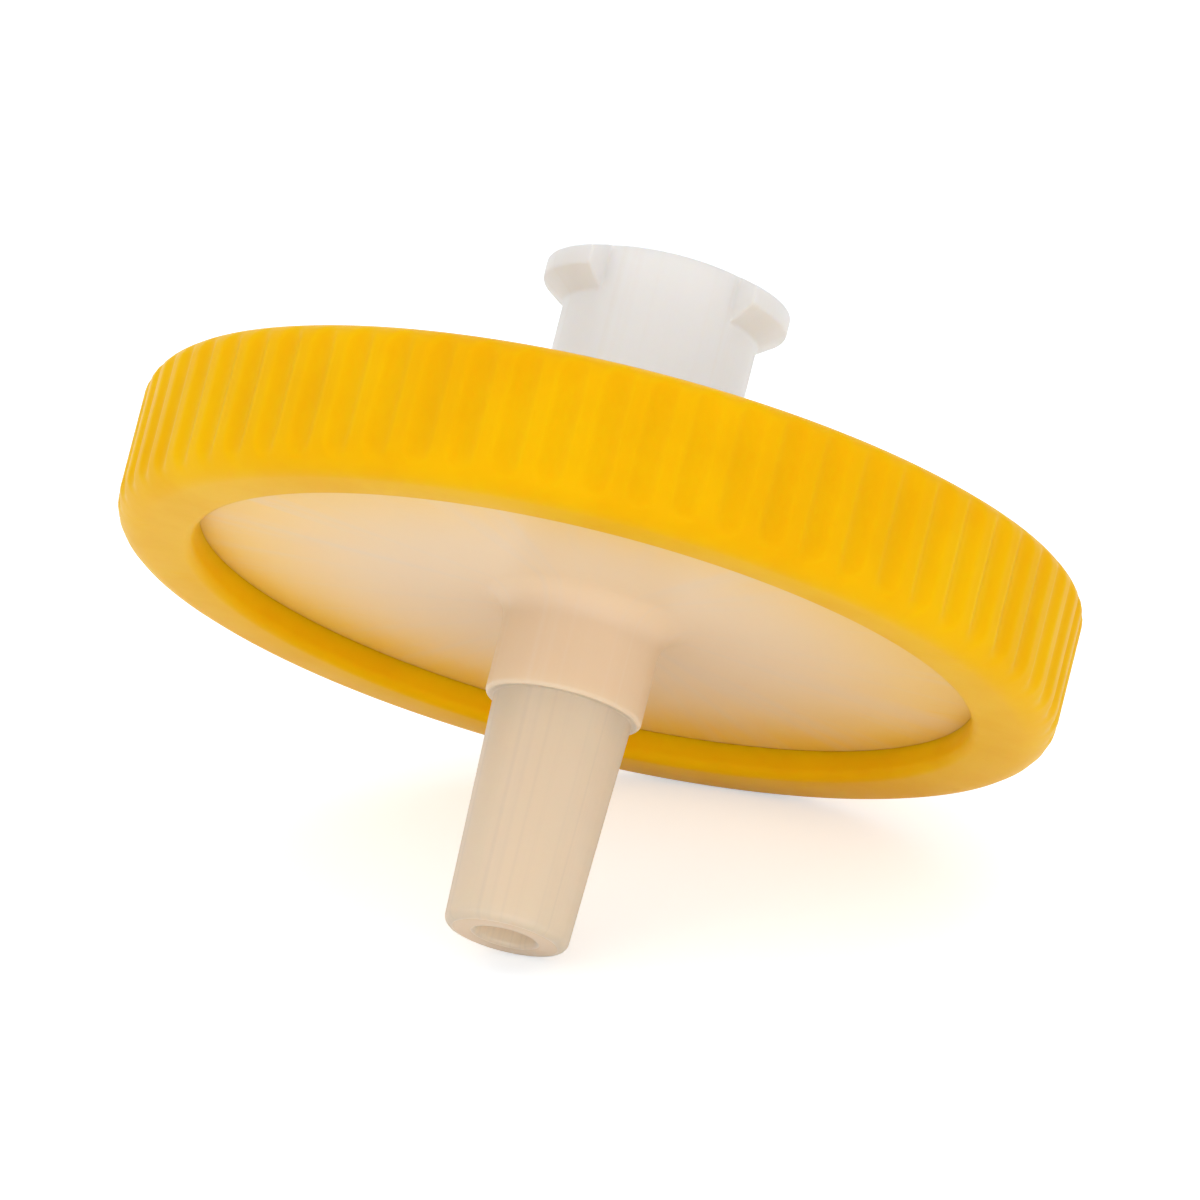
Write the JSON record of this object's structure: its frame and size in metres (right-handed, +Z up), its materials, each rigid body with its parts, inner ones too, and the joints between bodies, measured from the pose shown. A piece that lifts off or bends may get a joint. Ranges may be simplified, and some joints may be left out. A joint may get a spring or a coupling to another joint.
{
  "type": "syringe filter",
  "caption": "Round syringe filter: a fluted yellow ring holds two clear-white plastic shells with a Luer lock inlet, a Luer slip outlet and a membrane between.",
  "frame": {"origin": "middle of the bounding box's bottom face, on the surface that the filter lies on", "axes": "+Z up; +X along the ring's level diameter; the flow axis lies in the YZ plane, with the inlet up towards +Y and the outlet down towards -Y"},
  "size_m": [0.03, 0.026, 0.0216],
  "materials": {
    "yellow_plastic": "smooth glossy injection-moulded yellow polypropylene",
    "natural_plastic": "milky translucent natural polypropylene with a soft gloss",
    "membrane_white": "matt white nylon membrane"
  },
  "bodies": {
    "root": {"grip_ring": "yellow_plastic", "inlet_housing": "natural_plastic", "membrane": "membrane_white", "outlet_housing": "natural_plastic"}
  },
  "joints": []
}
